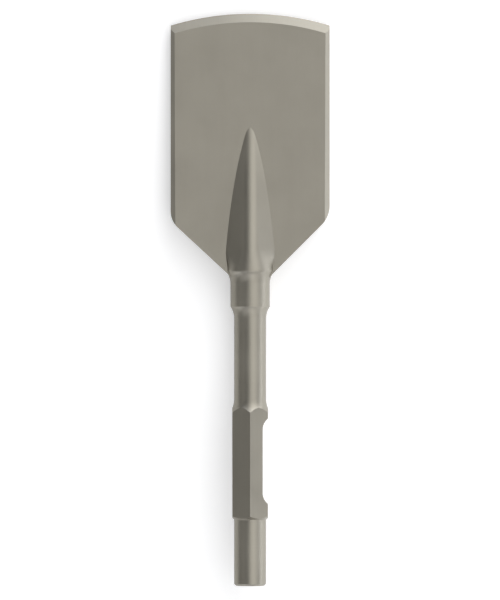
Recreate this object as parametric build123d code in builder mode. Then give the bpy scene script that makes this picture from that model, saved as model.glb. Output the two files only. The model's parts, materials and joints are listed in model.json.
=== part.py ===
"""Asphalt chisel for a demolition hammer, forged from one bar of tool steel.

The chisel is drawn about its own axis: +Y runs from the striking end to the
cutting edge, +X is the side of the retaining notch, and +Z leaves the front
face of the blade. The finished forging is then laid down as it comes to rest.
All sizes are in millimetres and degrees.
"""
from build123d import *
from math import asin, atan2, cos, degrees, hypot, radians, sin, sqrt, tan
import os

# Lengths along the axis
length = 450.0
tail_length = 52.2
hex_length = 81.7              # along the corners of the hexagon
neck_length = 63.2
collar_length = 17.8

# Round body and hexagon
bar_diameter = 25.2            # tail and neck
collar_diameter = 31.0
body_diameter = 38.1           # where the rib leaves the round body
across_flats = 28.0
hexagon_sides = 6
hexagon_rounding = 0.4         # along the six corners
tail_chamfer = 1.5
seat_angle = 35.0              # slope of the turned end of the hexagon
seat_fillet = 1.0              # where that slope meets the tail
neck_flare_radius = 17.5
collar_step_radius = 16.7
body_flare_radius = 16.0
blank_allowance = 1.0          # round stock outside the corners of the hexagon

# Retaining notch in the +X flat
notch_depth = 4.15
notch_setback = 18.3           # from the start of the hexagon to the notch floor
notch_floor_length = 50.0
notch_cutter_radius = 11.0

# Blade
blade_width = 125.0
edge_arc_radius = 215.6
edge_land = 0.8                # thickness left at the cutting edge
edge_bevel_angle = 40.0
side_land = 5.9                # flat left on the two long sides
side_bevel_angle = 45.0
root_thickness = 13.7          # blade thickness at the base of the rib
blade_taper = 0.21             # slope of each face towards the cutting edge
flank_root_drop = 0.8          # the flanks meet the body this far below the rib
left_flank_angle = 42.8
right_flank_angle = 45.0
left_corner_radius = 17.6
right_corner_radius = 22.0
forged_rounding = 0.4          # along the blade's edges, other than the ground ones

# Spear-shaped rib on both faces
rib_tip_setback = 89.9         # from the cutting edge to the tip of the rib
crest_radius = 12.6
flank_angle_tip = 19.5         # slope of the rib's sides at its tip
flank_angle_base = 37.0
rib_rounding = 19.0            # length over which the rib turns into the round body
rib_overrun = 9.0              # length of rib buried in the blade beyond its tip
rib_sections = 12
rim_rounding = 0.8             # where the round body turns into the rib
tolerance = 0.01

# Radii and slopes
bar_radius = bar_diameter / 2
collar_radius = collar_diameter / 2
body_radius = body_diameter / 2
flat_distance = across_flats / 2
corner_turn = 180 / hexagon_sides
hex_corner_radius = flat_distance / cos(radians(corner_turn))
blank_radius = hex_corner_radius + blank_allowance
half_width = blade_width / 2
edge_slope = tan(radians(edge_bevel_angle))
side_slope = tan(radians(side_bevel_angle))
seat_slope = tan(radians(seat_angle))
face_slope = tan(radians(blade_taper))
left_flank_slope = tan(radians(left_flank_angle))
right_flank_slope = tan(radians(right_flank_angle))


def flare_length(small_radius, large_radius, arc_radius):
    """Axial length of a concave arc that leaves the small radius along the axis."""
    return sqrt(arc_radius**2 - (arc_radius + small_radius - large_radius) ** 2)


# Stations on the axis
hex_start = tail_length + (hex_corner_radius - bar_radius) * seat_slope
hex_end = hex_start + hex_length
neck_start = hex_end + flare_length(bar_radius, hex_corner_radius, neck_flare_radius)
neck_end = neck_start + neck_length
collar_start = neck_end + flare_length(bar_radius, collar_radius, collar_step_radius)
collar_end = collar_start + collar_length
rib_base = collar_end + flare_length(collar_radius, body_radius, body_flare_radius)
rib_tip = length - rib_tip_setback
edge_arc_centre = length - edge_arc_radius
side_top = edge_arc_centre + sqrt(edge_arc_radius**2 - half_width**2)


def half_thickness(station):
    """Distance of the blade's face from its mid-plane."""
    return root_thickness / 2 - (station - rib_base) * face_slope


# Blade: an outline whose faces, cutting edge and long sides are then cut to form
flank_root = rib_base - flank_root_drop
left_shoulder = flank_root + (half_width - body_radius) * left_flank_slope
right_shoulder = flank_root + (half_width - body_radius) * right_flank_slope
left_foot = body_radius - (flank_root - collar_end) / left_flank_slope
right_foot = body_radius - (flank_root - collar_end) / right_flank_slope

with BuildPart() as blade:
    with BuildSketch(Plane.XY) as outline:
        with BuildLine():
            ThreePointArc((-half_width, side_top), (0, length), (half_width, side_top))
            Polyline(
                (half_width, side_top),
                (half_width, right_shoulder),
                (right_foot, collar_end),
                (-left_foot, collar_end),
                (-half_width, left_shoulder),
                (-half_width, side_top),
            )
        make_face()
        corners = outline.vertices()
        fillet(corners.sort_by_distance((-half_width, left_shoulder))[0], left_corner_radius)
        fillet(corners.sort_by_distance((half_width, right_shoulder))[0], right_corner_radius)
    extrude(amount=root_thickness, both=True)

    # Faces that taper towards the cutting edge
    with BuildSketch(Plane.YZ):
        with BuildLine():
            Polyline(
                (collar_end, 0),
                (collar_end, half_thickness(collar_end)),
                (length, half_thickness(length)),
                (length, 0),
            )
            mirror(about=Plane.XZ)
        make_face()
    extrude(amount=blade_width, both=True, mode=Mode.INTERSECT)

    # Cutting edge ground from both faces along the arc
    edge_apex = length + edge_land / 2 / edge_slope
    with BuildSketch(Plane.YZ):
        with BuildLine():
            Polyline(
                (edge_arc_centre, 0),
                (edge_apex, 0),
                (edge_apex - root_thickness / edge_slope, root_thickness),
                (edge_arc_centre, root_thickness),
                (edge_arc_centre, 0),
            )
        make_face()
        mirror(about=Plane.XZ)
    revolve(axis=Axis((0, edge_arc_centre, 0), (0, 0, 1)), mode=Mode.INTERSECT)

    # Bevels on the long sides, with a flat left between them
    side_apex = half_width + side_land / 2 / side_slope
    with BuildSketch(Plane.XZ):
        with BuildLine():
            Polyline(
                (-side_apex, 0),
                (-side_apex + root_thickness / side_slope, root_thickness),
                (side_apex - root_thickness / side_slope, root_thickness),
                (side_apex, 0),
            )
            mirror(about=Plane.XZ)
        make_face()
    extrude(amount=-(length + root_thickness), mode=Mode.INTERSECT)

    # Edges left by the dies are rounded, and those of the ground cutting bevel stay sharp
    blade_edges = blade.edges()
    ground = blade.faces().filter_by(GeomType.CONE).edges()
    buried = blade_edges.group_by(Axis.Y)[0]
    tangent_seams = blade_edges.filter_by_position(Axis.Z, -edge_land, edge_land)
    fillet(blade_edges - ground - buried - tangent_seams, forged_rounding)


# Rib: half sections across the axis, from a low roof to the full round of the body
side_arc = radians(90 - flank_angle_base)
rib_start = rib_tip + rib_overrun


def blend(start, end, share):
    return start + (end - start) * share


def eased(share):
    """The same share from 0 to 1, with a level start and end."""
    return share**2 * (3 - 2 * share)


with BuildPart() as rib:
    for i in range(rib_sections + 1):
        station = blend(rib_start, rib_base, i / rib_sections)
        along = (rib_tip - station) / (rib_tip - rib_base)
        crest = blend(half_thickness(rib_tip), body_radius, along)
        slope = radians(blend(flank_angle_tip, flank_angle_base, along))
        share = eased(max(rib_base + rib_rounding - station, 0) / rib_rounding)

        # The crest arc runs into the flank, which ends on the mid-plane at the foot
        radius = blend(crest_radius, body_radius, share)
        shoulder = Vector(radius * sin(slope), crest - radius * (1 - cos(slope)))
        flank_length = shoulder.Y / sin(slope)
        handle = blend(flank_length / 2, body_radius * tan(side_arc / 2), share)
        middle = shoulder + Vector(cos(slope), -sin(slope)) * handle
        foot = blend(shoulder.X + flank_length * cos(slope), body_radius, share)
        with BuildSketch(Plane.XZ.offset(-station)):
            with BuildLine():
                ThreePointArc((-shoulder.X, shoulder.Y), (0, crest), shoulder)
                flank = Bezier(shoulder, middle, (foot, 0), weights=[1, cos(side_arc / 2), 1])
                mirror(flank, about=Plane.YZ)
                Line((-foot, 0), (foot, 0))
            make_face()
    loft()
    mirror(about=Plane.XY)


# Forging: the turned body, its six flats and notch, the blade and the rib
with BuildPart() as forging:
    with BuildSketch(Plane.XY) as profile:
        with BuildLine():
            flare_start = neck_start - flare_length(bar_radius, blank_radius, neck_flare_radius)
            Polyline(
                (0, 0),
                (bar_radius - tail_chamfer, 0),
                (bar_radius, tail_chamfer),
                (bar_radius, tail_length),
                (blank_radius, hex_start + blank_allowance * seat_slope),
                (blank_radius, flare_start),
            )
            RadiusArc((blank_radius, flare_start), (bar_radius, neck_start), neck_flare_radius)
            Line((bar_radius, neck_start), (bar_radius, neck_end))
            RadiusArc((bar_radius, neck_end), (collar_radius, collar_start), collar_step_radius)
            Line((collar_radius, collar_start), (collar_radius, collar_end))
            RadiusArc((collar_radius, collar_end), (body_radius, rib_base), body_flare_radius)
            Polyline((body_radius, rib_base), (0, rib_base), (0, 0))
        make_face()
        seat_root = profile.vertices().sort_by_distance((bar_radius, tail_length))[0]
        fillet(seat_root, seat_fillet)
    revolve(axis=Axis.Y)
    with BuildSketch(Plane.XZ):
        Circle(blank_radius + blank_allowance)
        RegularPolygon(
            flat_distance,
            hexagon_sides,
            major_radius=False,
            rotation=corner_turn,
            mode=Mode.SUBTRACT,
        )
    extrude(amount=-neck_start, mode=Mode.SUBTRACT)
    corner_lines = forging.edges().filter_by(Axis.Y).filter_by_position(Axis.Y, hex_start, hex_end)
    fillet(corner_lines, hexagon_rounding)
    with BuildSketch(Plane.XY):
        notch_centre = hex_start + notch_setback + notch_floor_length / 2
        with Locations((flat_distance - notch_depth + notch_cutter_radius, notch_centre)):
            SlotCenterToCenter(notch_floor_length, 2 * notch_cutter_radius, rotation=90)
    extrude(amount=blank_radius, both=True, mode=Mode.SUBTRACT)
    add(blade.part)
    add(rib.part)
    rims = forging.edges().filter_by_position(Axis.Y, rib_base - tolerance, rib_base + tolerance)
    fillet(rims, rim_rounding)


# Resting place: the chisel lies on the heel of its cutting bevel and on the rounded rim
heel_run = (half_thickness(length) - edge_land / 2) / (edge_slope - face_slope)
heel = length - heel_run
rim_drop = body_radius - half_thickness(heel)
sharp_tilt = atan2(rim_drop, heel - rib_base)
flare_angle = asin((rib_base - collar_end) / body_flare_radius)
crest_angle = atan2(body_radius - half_thickness(rib_tip), rib_tip - rib_base)
rim_lean = cos((flare_angle - crest_angle) / 2 + sharp_tilt) / cos((flare_angle + crest_angle) / 2)
rim_lift = rim_rounding * (rim_lean - 1)
rest_tilt = sharp_tilt - asin(rim_lift / hypot(rim_drop, heel - rib_base))
rest_height = heel * sin(rest_tilt) + half_thickness(heel) * cos(rest_tilt)
lowest_station = -(bar_radius - tail_chamfer) * sin(rest_tilt)
highest_station = length * cos(rest_tilt) + edge_land / 2 * sin(rest_tilt)
rest_centre = (lowest_station + highest_station) / 2

with BuildPart() as asphalt_chisel:
    with Locations(Location((0, -rest_centre, rest_height), (-degrees(rest_tilt), 0, 0))):
        add(forging.part)

asphalt_chisel.part.label = "asphalt_chisel"
os.makedirs("parts", exist_ok=True)
export_step(asphalt_chisel.part, "parts/asphalt_chisel.step")
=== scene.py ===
import bmesh
import bpy
import json
from math import acos, atan2, cos, hypot, pi, radians, sin, sqrt, tan
from mathutils import Matrix, Vector


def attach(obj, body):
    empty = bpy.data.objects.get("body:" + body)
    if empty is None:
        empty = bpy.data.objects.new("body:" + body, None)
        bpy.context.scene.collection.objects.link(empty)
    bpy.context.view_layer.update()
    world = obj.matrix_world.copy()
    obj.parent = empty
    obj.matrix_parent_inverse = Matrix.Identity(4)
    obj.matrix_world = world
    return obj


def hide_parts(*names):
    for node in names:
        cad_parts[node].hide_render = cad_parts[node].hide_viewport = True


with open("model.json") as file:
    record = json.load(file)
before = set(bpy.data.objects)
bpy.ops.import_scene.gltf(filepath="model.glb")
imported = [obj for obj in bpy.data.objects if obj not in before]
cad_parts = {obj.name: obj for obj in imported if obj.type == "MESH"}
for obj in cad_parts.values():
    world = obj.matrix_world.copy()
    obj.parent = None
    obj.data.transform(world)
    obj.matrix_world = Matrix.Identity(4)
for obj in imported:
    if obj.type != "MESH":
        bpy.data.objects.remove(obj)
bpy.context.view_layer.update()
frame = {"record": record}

# The chisel's own axes. It is made lengthwise, with Y running from the striking face to the
# cutting edge and Z out of the front of the blade. Lying down, it rests on the base of its rib
# and on the heel of its cutting bevel, so its axis dips a few degrees towards the edge.
mm = 0.001
mounts = {mount["name"]: mount for mount in frame["record"]["mounts"]}
striking_face = Vector(mounts["striking_face"]["pos_m"])
axis = -Vector(mounts["striking_face"]["axis"])
dip = atan2(-axis.z, axis.y)
lying = Matrix.Translation(striking_face) @ Matrix.Rotation(-dip, 4, "X")


# Shank and rib. One bar of tool steel, turned to a round tail, neck and collar, and drawn out
# beyond the collar into a spear-shaped rib that stiffens the blade. It is one run of rings,
# from the striking face to the tip of the rib, buried in the blade.
ring_points = 96
tail_length = 52.2 * mm
hex_length = 81.7 * mm
neck_length = 63.2 * mm
collar_length = 17.8 * mm
bar_radius = 12.6 * mm
collar_radius = 15.5 * mm
body_radius = 19.05 * mm
flat_distance = 14.0 * mm
tail_chamfer = 1.5 * mm
seat_fillet = 1.0 * mm
seat_slope = tan(radians(35))
neck_flare_radius = 17.5 * mm
collar_step_radius = 16.7 * mm
body_flare_radius = 16.0 * mm
blank_allowance = 1.0 * mm
hex_corner_radius = flat_distance / cos(radians(30))
blank_radius = hex_corner_radius + blank_allowance
flare_steps = 12
seat_steps = 4

root_thickness = 13.7 * mm
face_slope = tan(radians(0.21))
blade_length = 450.0 * mm
rib_tip_setback = 89.9 * mm
crest_radius = 12.6 * mm
flank_tilt_tip = radians(19.5)
flank_tilt_base = radians(37)
rib_rounding = 19.0 * mm
rib_overrun = 9.0 * mm
rounding_steps = 12
rib_steps = 24


def flare(small, large, arc_radius, steps):
    """Stations and radii of a concave arc that leaves the small radius along the axis."""
    sweep = acos((arc_radius + small - large) / arc_radius)
    turns = [sweep * i / steps for i in range(steps + 1)]
    return [(arc_radius * sin(t), small + arc_radius * (1 - cos(t))) for t in turns]


def shifted(points, start, backwards=False):
    """A flare placed at its start, or mirrored to run up to it."""
    if backwards:
        return [(start - y, r) for y, r in reversed(points)]
    return [(start + y, r) for y, r in points]


hex_start = tail_length + (hex_corner_radius - bar_radius) * seat_slope
neck_flare_length = flare(bar_radius, hex_corner_radius, neck_flare_radius, 1)[-1][0]
neck_start = hex_start + hex_length + neck_flare_length
neck_end = neck_start + neck_length
neck_flare = flare(bar_radius, blank_radius, neck_flare_radius, flare_steps)
collar_step = flare(bar_radius, collar_radius, collar_step_radius, flare_steps)
collar_start = neck_end + collar_step[-1][0]
collar_end = collar_start + collar_length
body_flare = flare(collar_radius, body_radius, body_flare_radius, flare_steps)
rib_base = collar_end + body_flare[-1][0]
rib_tip = blade_length - rib_tip_setback

# The seat's root is rounded where it meets the tail
seat_turn = pi / 2 - atan2(seat_slope, 1)
seat_root = seat_fillet * tan(seat_turn / 2)
seat_rise = seat_fillet * (1 - cos(seat_turn))
seat_arc = flare(bar_radius, bar_radius + seat_rise, seat_fillet, seat_steps)

turned = [
    (tail_chamfer, bar_radius),
    *shifted(seat_arc, tail_length - seat_root),
    (hex_start + blank_allowance * seat_slope, blank_radius),
    *shifted(neck_flare, neck_start, backwards=True),
    *shifted(collar_step, neck_end),
    *shifted(body_flare, collar_end),
]


def half_thickness(station):
    """Distance of the blade's face from its mid-plane."""
    return root_thickness / 2 - (station - rib_base) * face_slope


def mix(start, end, share):
    """A number the given share of the way from start to end."""
    return start + (end - start) * share


def rib_point(station, turn):
    """A point of the rib's section, turn being the angle from the crest on the round body."""
    along = (rib_tip - station) / (rib_tip - rib_base)
    crest = mix(half_thickness(rib_tip), body_radius, along)
    tilt = mix(flank_tilt_tip, flank_tilt_base, along)
    rounding = max(rib_base + rib_rounding - station, 0) / rib_rounding
    share = rounding**2 * (3 - 2 * rounding)
    radius = mix(crest_radius, body_radius, share)
    if turn <= flank_tilt_base:
        swing = tilt * turn / flank_tilt_base
        return radius * sin(swing), crest - radius * (1 - cos(swing))
    # The flank runs on from the crest arc and ends on the mid-plane, round only at the body
    side = pi / 2 - flank_tilt_base
    part = sin((turn - flank_tilt_base) / 2) / sin((pi / 2 - turn) / 2) if turn < pi / 2 else None
    share_out = 1.0 if part is None else part / (1 + part)
    shoulder = Vector((radius * sin(tilt), crest - radius * (1 - cos(tilt))))
    flank_length = shoulder.y / sin(tilt)
    handle = mix(flank_length / 2, body_radius * tan(side / 2), share)
    middle = shoulder + Vector((cos(tilt), -sin(tilt))) * handle
    foot = Vector((mix(shoulder.x + flank_length * cos(tilt), body_radius, share), 0))
    weights = ((1 - share_out) ** 2, 2 * share_out * (1 - share_out) * cos(side / 2), share_out**2)
    point = shoulder * weights[0] + middle * weights[1] + foot * weights[2]
    return tuple(point / sum(weights))


def start_mesh():
    """Leaves nothing selected, so that the next primitive is alone."""
    bpy.ops.object.select_all(action="DESELECT")


def put_in_order(piece):
    """Lists a piece's points and faces by place, so that every run cuts and joins it the same."""
    mesh = piece.data
    places = [tuple(vertex.co) for vertex in mesh.vertices]
    order = sorted(range(len(places)), key=places.__getitem__)
    rank = {old: new for new, old in enumerate(order)}
    rings = []
    for face in mesh.polygons:
        ring = [rank[corner] for corner in face.vertices]
        first = ring.index(min(ring))
        rings.append(ring[first:] + ring[:first])
    mesh.clear_geometry()
    mesh.from_pydata([places[old] for old in order], [], sorted(rings))


def selected_cap(mesh):
    """The one selected face of the mesh being edited."""
    return next(face for face in bmesh.from_edit_mesh(mesh).faces if face.select)


start_mesh()
bpy.ops.mesh.primitive_circle_add(
    vertices=ring_points, radius=bar_radius - tail_chamfer, fill_type="NGON", rotation=(pi / 2, 0, 0)
)
chisel = bpy.context.object
chisel.name = "forged_chisel"
bpy.ops.object.transform_apply(location=True, rotation=True, scale=True)
bpy.ops.object.mode_set(mode="EDIT")
bpy.ops.mesh.select_all(action="SELECT")
station, radius = 0.0, bar_radius - tail_chamfer
for next_station, next_radius in turned:
    bpy.ops.mesh.extrude_region_move(TRANSFORM_OT_translate={"value": (0, next_station - station, 0)})
    growth = next_radius / radius
    bpy.ops.transform.resize(value=(growth, 1, growth), center_override=(0, next_station, 0))
    station, radius = next_station, next_radius

points = [vertex.co for vertex in selected_cap(chisel.data).verts]
turns = [(atan2(abs(point.x), abs(point.z)), point.x < 0, point.z < 0) for point in points]
rib_stations = [rib_base + rib_rounding * (i + 1) / rounding_steps for i in range(rounding_steps)]
rib_end = rib_tip + rib_overrun
rib_stations += [mix(rib_stations[-1], rib_end, (i + 1) / rib_steps) for i in range(rib_steps)]
for next_station in rib_stations:
    bpy.ops.mesh.extrude_region_move(TRANSFORM_OT_translate={"value": (0, next_station - station, 0)})
    station = next_station
    for vertex, (turn, left, back) in zip(selected_cap(chisel.data).verts, turns):
        x, z = rib_point(station, turn)
        vertex.co = (-x if left else x, station, -z if back else z)
    bmesh.update_edit_mesh(chisel.data)
bpy.ops.mesh.select_all(action="SELECT")
bpy.ops.mesh.normals_make_consistent(inside=False)
bpy.ops.object.mode_set(mode="OBJECT")
put_in_order(chisel)


# Hexagon. The thicker part of the bar, turned to a blank and milled to six flats, 28 mm across,
# that the hammer's holder grips so that the blade can't turn. Each flat runs out into the flares
# at its ends in a scallop.
def select_faces(mesh, test):
    """Selects, in edit mode, only the faces whose centre and normal pass the test."""
    bpy.ops.mesh.select_mode(type="FACE")
    bpy.ops.mesh.select_all(action="DESELECT")
    edited = bmesh.from_edit_mesh(mesh)
    for face in edited.faces:
        face.select_set(test(face.calc_center_median(), face.normal))
    bmesh.update_edit_mesh(mesh)


def cut_flat(plane_co, plane_no):
    """Mills what is selected down to a plane, whose normal points away from the steel."""
    bpy.ops.mesh.bisect(plane_co=plane_co, plane_no=plane_no, use_fill=True, clear_outer=True)


flats = [Vector((cos(radians(60 * i)), 0, sin(radians(60 * i)))) for i in range(6)]
for outward in flats:
    start_mesh()
    chisel.select_set(True)
    bpy.ops.object.mode_set(mode="EDIT")
    select_faces(chisel.data, lambda centre, normal: centre.y < neck_start)
    cut_flat(outward * flat_distance, outward)
    bpy.ops.object.mode_set(mode="OBJECT")


# Retaining notch. A trough milled across one flat of the hexagon with a round cutter 22 mm across,
# fed along the shank for 50 mm. The holder's latch drops into it, and the chisel can slide by as
# much as the latch leaves free.
notch_depth = 4.15 * mm
notch_setback = 18.3 * mm
notch_floor_length = 50.0 * mm
notch_cutter_radius = 11.0 * mm
cutter_length = 4 * flat_distance
cutter_points = 96
merge_distance = 0.005 * mm
notch_centre = hex_start + notch_setback + notch_floor_length / 2


def merge_close():
    """Merges, in edit mode, the points that a cut or a rounding leaves almost on one another."""
    bpy.ops.mesh.select_all(action="SELECT")
    bpy.ops.mesh.remove_doubles(threshold=merge_distance)
    bpy.ops.mesh.dissolve_degenerate(threshold=merge_distance)


def combine(target, tool, operation):
    """Joins a tool shape to the target, cuts it away or keeps what they share, and removes it."""
    put_in_order(target)
    put_in_order(tool)
    start_mesh()
    target.select_set(True)
    bpy.context.view_layer.objects.active = target
    modifier = target.modifiers.new("shape", "BOOLEAN")
    modifier.operation = operation
    modifier.solver = "EXACT"
    modifier.object = tool
    bpy.ops.object.modifier_apply(modifier=modifier.name)
    bpy.data.objects.remove(tool)
    bpy.ops.object.mode_set(mode="EDIT")
    merge_close()
    bpy.ops.object.mode_set(mode="OBJECT")


start_mesh()
bpy.ops.mesh.primitive_cylinder_add(
    vertices=cutter_points,
    radius=notch_cutter_radius,
    depth=cutter_length,
    location=(flat_distance - notch_depth + notch_cutter_radius, notch_centre, 0),
    rotation=(0, 0, pi / cutter_points),
)
cutter = bpy.context.object
bpy.ops.object.transform_apply(location=True, rotation=True, scale=True)
bpy.ops.object.mode_set(mode="EDIT")
for end in (-1, 1):
    bpy.ops.mesh.select_mode(type="VERT")
    bpy.ops.mesh.select_all(action="DESELECT")
    edited = bmesh.from_edit_mesh(cutter.data)
    for vertex in edited.verts:
        reach = end * (vertex.co.y - notch_centre)
        vertex.select_set(0 < reach < notch_floor_length / 2)
    bmesh.update_edit_mesh(cutter.data)
    bpy.ops.transform.translate(value=(0, end * notch_floor_length / 2, 0))
bpy.ops.object.mode_set(mode="OBJECT")
combine(chisel, cutter, "DIFFERENCE")


# Blade. Forged flat in the same piece as the bar, 13.7 mm thick at its root, with its outline
# trimmed and its sides bevelled to a narrow land. The cutting edge is an arc, ground from both
# faces at 40 degrees to a thin land, because asphalt is cut and prised up rather than sliced.
blade_width = 125.0 * mm
edge_arc_radius = 215.6 * mm
edge_land = 0.8 * mm
edge_slope = tan(radians(40))
side_land = 5.9 * mm
side_slope = tan(radians(45))
flank_root_drop = 0.8 * mm
flanks = {-1: (radians(42.8), 17.6 * mm), 1: (radians(45.0), 22.0 * mm)}
circle_points = 1440
corner_steps = 16
outline_gap = 0.001 * mm
end_facing = 0.9
trim_allowance = 5.0 * mm
half_width = blade_width / 2
edge_arc_centre = blade_length - edge_arc_radius
side_top = edge_arc_centre + sqrt(edge_arc_radius**2 - half_width**2)
flank_root = rib_base - flank_root_drop

start_mesh()
bpy.ops.mesh.primitive_circle_add(
    vertices=circle_points, radius=edge_arc_radius, location=(0, edge_arc_centre, -root_thickness)
)
blade = bpy.context.object
bpy.ops.object.transform_apply(location=True, rotation=True, scale=True)
bpy.ops.object.mode_set(mode="EDIT")
trims = (
    (Vector((1, 0, 0)), half_width),
    (Vector((-1, 0, 0)), half_width),
    (Vector((0, -1, 0)), trim_allowance - side_top),
)
for outward, reach in trims:
    bpy.ops.mesh.select_all(action="SELECT")
    bpy.ops.mesh.bisect(plane_co=outward * reach, plane_no=outward, clear_outer=True)


def select_end(side):
    """Selects the open end of the outline on one side of the blade, and tells where it is."""
    bpy.ops.mesh.select_mode(type="VERT")
    bpy.ops.mesh.select_all(action="DESELECT")
    edited = bmesh.from_edit_mesh(blade.data)
    ends = [vertex for vertex in edited.verts if len(vertex.link_edges) == 1]
    end = next(vertex for vertex in ends if vertex.co.x * side > 0)
    end.select_set(True)
    bmesh.update_edit_mesh(blade.data)
    return end.co.copy()


for side, (flank_angle, corner_radius) in flanks.items():
    shoulder = flank_root + (half_width - body_radius) * tan(flank_angle)
    foot = body_radius - (flank_root - collar_end) / tan(flank_angle)
    turn = pi / 2 - flank_angle
    end = select_end(side)
    corner_start = shoulder + corner_radius * tan(turn / 2)
    bpy.ops.mesh.extrude_vertices_move(TRANSFORM_OT_translate={"value": (0, corner_start - end.y, 0)})
    end = select_end(side)
    bpy.ops.mesh.spin(
        steps=corner_steps,
        angle=side * turn,
        center=end - Vector((side * corner_radius, 0, 0)),
        axis=(0, 0, 1),
    )
    end = select_end(side)
    target = Vector((side * foot, collar_end, end.z))
    bpy.ops.mesh.extrude_vertices_move(TRANSFORM_OT_translate={"value": target - end})
bpy.ops.mesh.select_all(action="SELECT")
bpy.ops.mesh.remove_doubles(threshold=outline_gap)
bpy.ops.mesh.edge_face_add()
bpy.ops.mesh.select_all(action="SELECT")
bpy.ops.mesh.extrude_region_move(TRANSFORM_OT_translate={"value": (0, 0, 2 * root_thickness)})
bpy.ops.mesh.select_all(action="SELECT")
bpy.ops.mesh.normals_make_consistent(inside=False)
bpy.ops.object.mode_set(mode="OBJECT")
put_in_order(blade)
bpy.ops.object.mode_set(mode="EDIT")

side_apex = half_width + side_land / 2 / side_slope
for face in (-1, 1):
    bpy.ops.mesh.select_all(action="SELECT")
    cut_flat((0, rib_base, face * root_thickness / 2), (0, face_slope, face))
    for side in (-1, 1):
        bpy.ops.mesh.select_all(action="SELECT")
        cut_flat((side * side_apex, 0, 0), (side * side_slope, 0, face))
bpy.ops.object.mode_set(mode="OBJECT")

start_mesh()
edge_apex = edge_arc_radius + edge_land / 2 / edge_slope
bpy.ops.mesh.primitive_cylinder_add(
    vertices=circle_points,
    radius=edge_apex,
    depth=2 * root_thickness,
    location=(0, edge_arc_centre, 0),
)
grinding = bpy.context.object
bpy.ops.object.transform_apply(location=True, rotation=True, scale=True)
bpy.ops.object.mode_set(mode="EDIT")
bpy.ops.mesh.select_all(action="SELECT")
bpy.ops.mesh.bisect(plane_co=(0, 0, 0), plane_no=(0, 0, 1))
narrowing = 1 - root_thickness / edge_slope / edge_apex
for face in (-1, 1):
    select_faces(grinding.data, lambda centre, normal: normal.z * face > end_facing)
    bpy.ops.transform.resize(value=(narrowing, narrowing, 1), center_override=(0, edge_arc_centre, 0))
bpy.ops.object.mode_set(mode="OBJECT")
combine(blade, grinding, "INTERSECT")


# Broken edges. Forging leaves the blade's edges a little round, and those of the hexagon and notch
# are broken with a file. The base of the rib keeps a softer rim, and the ground edges are only
# stoned. Bar and blade are then joined into the one piece of steel that they are.
ground_break = 0.1 * mm
edge_break = 0.25 * mm
rim_break = 0.8 * mm
hard_turn = radians(20)
forged_turn = radians(24)
rim_turn = radians(8)
cone_nearness = 0.02 * mm
rim_nearness = 0.01 * mm


def select_edges(mesh, test):
    """Selects, in edit mode, only the edges that pass the test."""
    bpy.ops.mesh.select_mode(type="EDGE")
    bpy.ops.mesh.select_all(action="DESELECT")
    edited = bmesh.from_edit_mesh(mesh)
    for edge in edited.edges:
        edge.select_set(test(edge))
    bmesh.update_edit_mesh(mesh)


def round_edges(piece, offset, segments, test):
    """Rounds the edges of a piece that pass the test."""
    put_in_order(piece)
    start_mesh()
    piece.select_set(True)
    bpy.context.view_layer.objects.active = piece
    bpy.ops.object.mode_set(mode="EDIT")
    select_edges(piece.data, test)
    bpy.ops.mesh.bevel(offset=offset, segments=segments, affect="EDGES", clamp_overlap=True)
    merge_close()
    bpy.ops.object.mode_set(mode="OBJECT")


def middle_of(edge):
    """The point half way along an edge."""
    return (edge.verts[0].co + edge.verts[1].co) / 2


def turns_by(edge, least):
    """Whether the two faces at an edge turn from one another by more than the least angle."""
    return edge.calc_face_angle(0) > least


def on_ground_cone(point, nearness=cone_nearness):
    """Whether a point lies on the cone that the cutting bevel is ground to."""
    distance = hypot(point.x, point.y - edge_arc_centre)
    return abs(distance - edge_apex + abs(point.z) / edge_slope) < nearness


def lies_on_cone(edge):
    """Whether both ends of an edge are on the ground cone."""
    return all(on_ground_cone(vertex.co) for vertex in edge.verts)


def ground_edge(edge):
    return turns_by(edge, hard_turn) and lies_on_cone(edge)


def forged_edge(edge):
    return turns_by(edge, forged_turn) and not lies_on_cone(edge)


def milled_edge(edge):
    return turns_by(edge, hard_turn) and middle_of(edge).y < rib_base - rim_break


def rim_edge(edge):
    return turns_by(edge, rim_turn) and abs(middle_of(edge).y - rib_base) < rim_nearness


round_edges(blade, ground_break, 1, ground_edge)
round_edges(blade, edge_break, 2, forged_edge)
round_edges(chisel, edge_break, 2, milled_edge)
round_edges(chisel, rim_break, 4, rim_edge)
combine(chisel, blade, "UNION")


# Steel. The whole chisel is one grey tool steel with a satin surface: a blasted forging skin on
# the blade and rib, fine turned rings on the round parts, marks along the milled flats, and
# grinding marks across the cutting bevel. Its edges are rubbed a little brighter.
steel_colour = (0.333, 0.31, 0.256)
rubbed_colour = (0.42, 0.4, 0.35, 1)
middle_tone = 0.5
tone_range = 0.08
patch_tone = 0.3
steel_roughness = 0.42
patch_roughening = 0.03
mark_roughening = 0.02
rubbed_smoothing = 0.08
dimples_per_metre = 2200.0
patches_per_metre = 28.0
wear_per_metre = 180.0
rubbed_width = 0.5 * mm
rubbed_from, rubbed_fully = 0.995, 0.93
rubbed_samples = 6
noise_low, noise_high = 0.3, 0.7


def add_node(tree, kind, settings, sockets):
    """Adds a node. Each socket gets a plain value, or a link from another node's output."""
    node = tree.nodes.new("ShaderNode" + kind)
    for name, value in settings.items():
        setattr(node, name, value)
    for name, value in sockets.items():
        if isinstance(value, bpy.types.NodeSocket):
            tree.links.new(value, node.inputs[name])
        else:
            node.inputs[name].default_value = value
    return node


def calculate(tree, operation, *values):
    """A sum or other step of arithmetic."""
    return add_node(tree, "Math", {"operation": operation}, dict(enumerate(values))).outputs["Value"]


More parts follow.
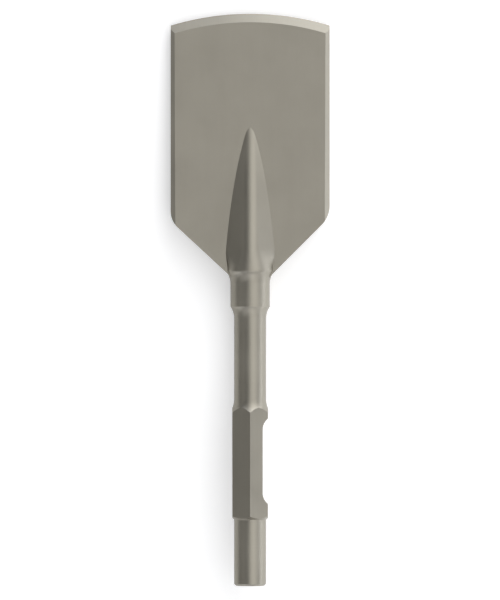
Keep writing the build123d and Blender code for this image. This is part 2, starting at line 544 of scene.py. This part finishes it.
def start_group(name, inputs, outputs):
    """A node group with its sockets, and the node that hands in what goes into it."""
    group = bpy.data.node_groups.new(name, "ShaderNodeTree")
    for socket, kind in inputs.items():
        group.interface.new_socket(socket, in_out="INPUT", socket_type="NodeSocket" + kind)
    for socket in outputs:
        group.interface.new_socket(socket, in_out="OUTPUT", socket_type="NodeSocketFloat")
    return group, group.nodes.new("NodeGroupInput").outputs


def end_group(group, **results):
    """Hands out what a node group works out."""
    ends = group.nodes.new("NodeGroupOutput")
    for name, value in results.items():
        group.links.new(value, ends.inputs[name])


def evened(tree, value):
    """Spreads a noise, most of which lies close to 0.5, over -1 to 1."""
    spread = {"Value": value, "From Min": noise_low, "From Max": noise_high, "To Min": -1.0}
    return add_node(tree, "MapRange", {}, spread).outputs["Result"]


# Blasting leaves overlapping dimples, and a forging cools unevenly, in cloudy patches
skin_group, given = start_group(
    "blasted_skin", {"Vector": "Vector", "Dimples": "Float", "Patches": "Float"}, ("Tone", "Height")
)
dimples = add_node(
    skin_group, "TexVoronoi", {}, {"Vector": given["Vector"], "Scale": given["Dimples"]}
).outputs["Distance"]
patches = add_node(
    skin_group, "TexNoise", {}, {"Vector": given["Vector"], "Scale": given["Patches"], "Detail": 4.0}
).outputs["Fac"]
end_group(skin_group, Tone=evened(skin_group, patches), Height=dimples)

# A tool leaves lines, close together one way and drawn out along the others
marks_group, given = start_group(
    "tool_marks", {"Vector": "Vector", "Closeness": "Vector"}, ("Tone", "Height")
)
spread = add_node(
    marks_group, "VectorMath", {"operation": "MULTIPLY"}, {0: given["Vector"], 1: given["Closeness"]}
).outputs["Vector"]
lines = add_node(
    marks_group, "TexNoise", {}, {"Vector": spread, "Scale": 1.0, "Detail": 3.0, "Roughness": 0.6}
).outputs["Fac"]
end_group(marks_group, Tone=evened(marks_group, lines), Height=lines)

# Handling rubs the edges, here more and there less
rubbing_group, given = start_group(
    "rubbed_edges", {"Vector": "Vector", "Width": "Float"}, ("Mask",)
)
rounded = add_node(
    rubbing_group, "Bevel", {"samples": rubbed_samples}, {"Radius": given["Width"]}
).outputs["Normal"]
plain = rubbing_group.nodes.new("ShaderNodeNewGeometry").outputs["Normal"]
agreement = add_node(
    rubbing_group, "VectorMath", {"operation": "DOT_PRODUCT"}, {0: rounded, 1: plain}
).outputs["Value"]
limits = {"Value": agreement, "From Min": rubbed_from, "From Max": rubbed_fully}
turned_away = add_node(rubbing_group, "MapRange", {}, limits).outputs["Result"]
unevenness = add_node(
    rubbing_group, "TexNoise", {}, {"Vector": given["Vector"], "Scale": wear_per_metre, "Detail": 3.0}
).outputs["Fac"]
end_group(rubbing_group, Mask=calculate(rubbing_group, "MULTIPLY", turned_away, unevenness))


def blend(tree, share, first, second):
    """A colour between two others."""
    sockets = {0: share, 6: first, 7: second}
    return add_node(tree, "Mix", {"data_type": "RGBA"}, sockets).outputs[2]


def steel_finish(name, dimple_depth, closeness, mark_depth, mark_tone, rubbed_beyond=0.0):
    """A satin steel. Depths are in mm, closeness in marks per metre along the chisel's axes."""
    material = bpy.data.materials.new(name)
    material.use_nodes = True
    tree = material.node_tree
    shader = tree.nodes["Principled BSDF"]
    shader.inputs["Metallic"].default_value = 1.0
    surface = tree.nodes.new("ShaderNodeTexCoord").outputs["Object"]
    laid = {"Vector": surface, "Location": striking_face, "Rotation": (-dip, 0, 0)}
    place = add_node(tree, "Mapping", {"vector_type": "TEXTURE"}, laid).outputs["Vector"]
    given = {"Vector": place, "Dimples": dimples_per_metre, "Patches": patches_per_metre}
    skin = add_node(tree, "Group", {"node_tree": skin_group}, given).outputs
    given = {"Vector": place, "Closeness": closeness}
    marks = add_node(tree, "Group", {"node_tree": marks_group}, given).outputs
    given = {"Vector": place, "Width": rubbed_width}
    rubbed = add_node(tree, "Group", {"node_tree": rubbing_group}, given).outputs["Mask"]
    if rubbed_beyond:
        # The crease beside the rib is sheltered, unlike the blade's own edges
        parts = add_node(tree, "SeparateXYZ", {}, {"Vector": place}).outputs
        aside = calculate(tree, "ABSOLUTE", parts["X"])
        clear = calculate(tree, "GREATER_THAN", aside, rubbed_beyond)
        past_rib = calculate(tree, "GREATER_THAN", parts["Y"], rib_tip)
        rubbed = calculate(tree, "MULTIPLY", rubbed, calculate(tree, "MAXIMUM", clear, past_rib))

    tone = calculate(tree, "MULTIPLY_ADD", skin["Tone"], patch_tone, middle_tone)
    tone = calculate(tree, "MULTIPLY_ADD", marks["Tone"], mark_tone, tone)
    darker = (*((1 - tone_range) * channel for channel in steel_colour), 1)
    lighter = (*((1 + tone_range) * channel for channel in steel_colour), 1)
    colour = blend(tree, rubbed, blend(tree, tone, darker, lighter), rubbed_colour)
    tree.links.new(colour, shader.inputs["Base Color"])

    roughness = calculate(tree, "MULTIPLY_ADD", skin["Tone"], patch_roughening, steel_roughness)
    roughness = calculate(tree, "MULTIPLY_ADD", marks["Tone"], mark_roughening, roughness)
    roughness = calculate(tree, "MULTIPLY_ADD", rubbed, -rubbed_smoothing, roughness)
    tree.links.new(roughness, shader.inputs["Roughness"])

    height = calculate(tree, "MULTIPLY", skin["Height"], dimple_depth)
    height = calculate(tree, "MULTIPLY_ADD", marks["Height"], mark_depth, height)
    relief = add_node(tree, "Bump", {}, {"Height": height, "Distance": mm})
    tree.links.new(relief.outputs["Normal"], shader.inputs["Normal"])
    return material


# How close a face's centre and direction come to a form for the face to be counted as part of it
flat_nearness = 0.01 * mm
flat_facing = 0.999
notch_nearness = 0.1 * mm
notch_facing = 0.3
notch_lean = 0.01
ground_nearness = 0.05 * mm
round_nearness = 0.01 * mm
base_nearness = 0.1 * mm


def is_steel(centre, normal):
    """Every face, because each has the forging skin until another finish takes it over."""
    return True


def is_turned(centre, normal):
    """Whether a face lies on the bar up to the base of the rib."""
    in_round = hypot(centre.x, centre.z) < body_radius + round_nearness
    return in_round and centre.y < rib_base + base_nearness


def is_flat(centre, normal):
    """Whether a face lies in one of the six flats."""
    faced = [outward for outward in flats if normal.dot(outward) > flat_facing]
    in_plane = any(centre.dot(outward) > flat_distance - flat_nearness for outward in faced)
    return in_plane and centre.y < neck_start


def is_notch(centre, normal):
    """Whether a face is part of the notch's floor or of its hollow ends, which all run along Z."""
    in_reach = abs(centre.y - notch_centre) < notch_floor_length / 2 + notch_cutter_radius
    below_flat = centre.x < flat_distance - notch_nearness
    return in_reach and below_flat and abs(normal.z) < notch_lean and normal.x > notch_facing


def is_ground(centre, normal):
    """Whether a face is part of the cutting bevel or of the land on the cutting edge."""
    on_land = hypot(centre.x, centre.y - edge_arc_centre) > edge_arc_radius - ground_nearness
    return on_land or on_ground_cone(centre, ground_nearness)


# Each finish: name, depth of dimples, closeness and depth of marks, their tone, sheltered reach
sheltered_width = 5.0 * mm
rib_reach = body_radius + sheltered_width
finishes = (
    (is_steel, steel_finish("forging_skin", 0.014, (220, 25, 220), 0.004, 0.09, rib_reach)),
    (is_turned, steel_finish("turned_rings", 0.003, (12, 3400, 12), 0.008, 0.2)),
    (is_flat, steel_finish("milled_flat", 0.003, (2600, 14, 2600), 0.007, 0.2)),
    (is_notch, steel_finish("milled_notch", 0.003, (14, 1700, 14), 0.012, 0.25)),
    (is_ground, steel_finish("ground_bevel", 0.002, (2400, 20, 20), 0.008, 0.25)),
)
start_mesh()
chisel.select_set(True)
bpy.context.view_layer.objects.active = chisel
for index, (belongs, finish) in enumerate(finishes):
    chisel.data.materials.append(finish)
    chisel.active_material_index = index
    bpy.ops.object.mode_set(mode="EDIT")
    select_faces(chisel.data, belongs)
    bpy.ops.object.material_slot_assign()
    bpy.ops.object.mode_set(mode="OBJECT")


# Laying down. The finished chisel is smooth between its edges and the creases where the rib's
# flanks meet the face of the blade. It is turned to the way in which it comes to rest, front up.
smooth_turn = radians(32)
crease_turn = radians(3)
wide_face_area = 0.005


def crease_edge(edge):
    """Whether an edge is hollow and lies along one of the blade's two wide faces."""
    widest = max(face.calc_area() for face in edge.link_faces)
    return edge.calc_face_angle_signed(0) < -crease_turn and widest > wide_face_area


bpy.ops.object.mode_set(mode="EDIT")
select_edges(chisel.data, crease_edge)
bpy.ops.mesh.mark_sharp()
bpy.ops.object.mode_set(mode="OBJECT")
bpy.ops.object.shade_smooth_by_angle(angle=smooth_turn, keep_sharp_edges=True)
weighting = chisel.modifiers.new("shading", "WEIGHTED_NORMAL")
weighting.keep_sharp = True
bpy.ops.object.modifier_apply(modifier=weighting.name)
chisel.data.transform(lying)
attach(chisel, "root")
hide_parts("asphalt_chisel")


# Floor. A plain pale table, wide enough to fill every view. To the camera it glows a little, so
# that it is white behind the chisel and still keeps the chisel's shadow. Seen only in the steel's
# reflections, it glows more, faintly on the left and strongly on the right, where the light comes
# from. That glow is a painted reflection that brightens the right edges of the shank.
floor_size = 12.0
floor_roughness = 0.9
white = (1, 1, 1, 1)
table_colour = (0.81, 0.8, 0.78, 1)
mirrored_colour = (0.95, 0.99, 1.06, 1)
glow_seen, glow_left, glow_right = 0.38, 0.15, 0.55


def fade(tree, value, start, end, low, high):
    """A soft passage of light from low to high."""
    sockets = {"Value": value, "From Min": start, "From Max": end, "To Min": low, "To Max": high}
    passage = add_node(tree, "MapRange", {"interpolation_type": "SMOOTHSTEP"}, sockets)
    return passage.outputs["Result"]


start_mesh()
bpy.ops.mesh.primitive_plane_add(size=floor_size)
floor = bpy.context.object
floor.name = "floor"
table = bpy.data.materials.new("white_table")
table.use_nodes = True
tree = table.node_tree
shader = tree.nodes["Principled BSDF"]
shader.inputs["Base Color"].default_value = table_colour
shader.inputs["Roughness"].default_value = floor_roughness
shader.inputs["Specular IOR Level"].default_value = 0.0
rays = tree.nodes.new("ShaderNodeLightPath").outputs
across = tree.nodes.new("ShaderNodeTexCoord").outputs["Object"]
across = add_node(tree, "SeparateXYZ", {}, {"Vector": across}).outputs["X"]
# Painted reflection: a glow that only glossy rays see, graded from dim on the left to bright on the
# right
mirrored = fade(tree, across, -body_radius, body_radius, glow_left, glow_right)
strength = calculate(tree, "MULTIPLY", rays["Is Glossy Ray"], mirrored)
strength = calculate(tree, "MULTIPLY_ADD", rays["Is Camera Ray"], glow_seen, strength)
colour = blend(tree, rays["Is Glossy Ray"], white, mirrored_colour)
glow = add_node(tree, "Emission", {}, {"Color": colour, "Strength": strength})
lit = add_node(tree, "AddShader", {}, {0: shader.outputs["BSDF"], 1: glow.outputs["Emission"]})
tree.links.new(lit.outputs["Shader"], tree.nodes["Material Output"].inputs["Surface"])
floor.data.materials.append(table)


# Light. A white tent, dim on the left of the chisel, pale on its right and brighter beyond the
# blade, with seven wide soft boxes far off. The long one overhead lights the faces that look up,
# and a low strip on the right draws the bright line along the shank.
cool = (0.94, 0.98, 1.09, 1)
tent_colour = (0.975, 0.99, 1.035, 1)
tent_left, tent_right, tent_beyond = 0.113, 0.553, 1.073
lean_left, lean_right = radians(-12), radians(8)
beyond_low, beyond_high = sin(radians(15)), sin(radians(50))
lamp_distance = 6.0

world = bpy.data.worlds.new("studio")
bpy.context.scene.world = world
world.use_nodes = True
tree = world.node_tree
direction = tree.nodes.new("ShaderNodeTexCoord").outputs["Generated"]
towards = add_node(tree, "SeparateXYZ", {}, {"Vector": direction}).outputs
lean = calculate(tree, "ARCTAN2", towards["X"], towards["Z"])
rightwards = fade(tree, lean, lean_left, lean_right, 0.0, 1.0)
brightest = tent_right + tent_beyond
beyond = fade(tree, towards["Y"], beyond_low, beyond_high, tent_right, brightest)
strength = calculate(tree, "MULTIPLY_ADD", rightwards, beyond, tent_left)
tent = tree.nodes["Background"]
tent.inputs["Color"].default_value = tent_colour
tree.links.new(strength, tent.inputs["Strength"])
backdrop = add_node(tree, "Background", {}, {"Color": white, "Strength": 1.0})
seen = tree.nodes.new("ShaderNodeLightPath").outputs["Is Camera Ray"]
both = {0: seen, 1: tent.outputs["Background"], 2: backdrop.outputs["Background"]}
shown = add_node(tree, "MixShader", {}, both)
tree.links.new(shown.outputs["Shader"], tree.nodes["World Output"].inputs["Surface"])


def softbox(name, colour, radiance, width, height, bearing, elevation):
    """A wide lamp that faces the chisel. Sizes are in metres, angles in degrees, from +X to +Y."""
    start_mesh()
    turn, rise = radians(bearing), radians(elevation)
    away = Vector((cos(turn) * cos(rise), sin(turn) * cos(rise), sin(rise)))
    facing = away.to_track_quat("Z", "Y").to_euler()
    bpy.ops.object.light_add(type="AREA", location=away * lamp_distance, rotation=facing)
    holder = bpy.context.object
    holder.name = name
    holder.visible_camera = False
    lamp = holder.data
    lamp.shape = "RECTANGLE"
    lamp.size = width
    lamp.size_y = height
    lamp.color = colour[:3]
    lamp.energy = radiance * pi * width * height


# Each lamp: name, colour, brightness, width, height, bearing, elevation
softbox("overhead", white, 0.685, 22.6, 5.47, 0, 69.5)
softbox("side", cool, 2.38, 20.8, 1.05, 0, 5)
softbox("left", white, 0.317, 10.4, 4.13, 200, 37)
softbox("beyond", cool, 0.94, 7.8, 3.67, 90, 17)
softbox("foot", cool, 0.54, 6.9, 3.2, 250, 50)
softbox("tail", cool, 2.5, 5.0, 1.05, 240, 5)
softbox("corner", cool, 0.4, 3.5, 3.0, 122, 24)


# Camera. It looks straight down on the front of the blade from far off with a long lens, so that
# the chisel shows almost no perspective, blade uppermost.
pixel = 0.7867 * mm
picture_rows = 600
lens, film = 500.0, 36.0
distance = picture_rows * pixel * lens / film
viewpoint = (-0.11 * mm, 224.8 * mm, distance)
farthest_seen = 3 * distance
start_mesh()
bpy.ops.object.camera_add()
camera = bpy.context.object
camera.name = "camera"
camera.matrix_world = lying @ Matrix.Translation(viewpoint)
camera.data.lens = lens
camera.data.sensor_width = film
camera.data.clip_end = farthest_seen
bpy.context.scene.camera = camera

bpy.context.scene.view_settings.view_transform = "Standard"
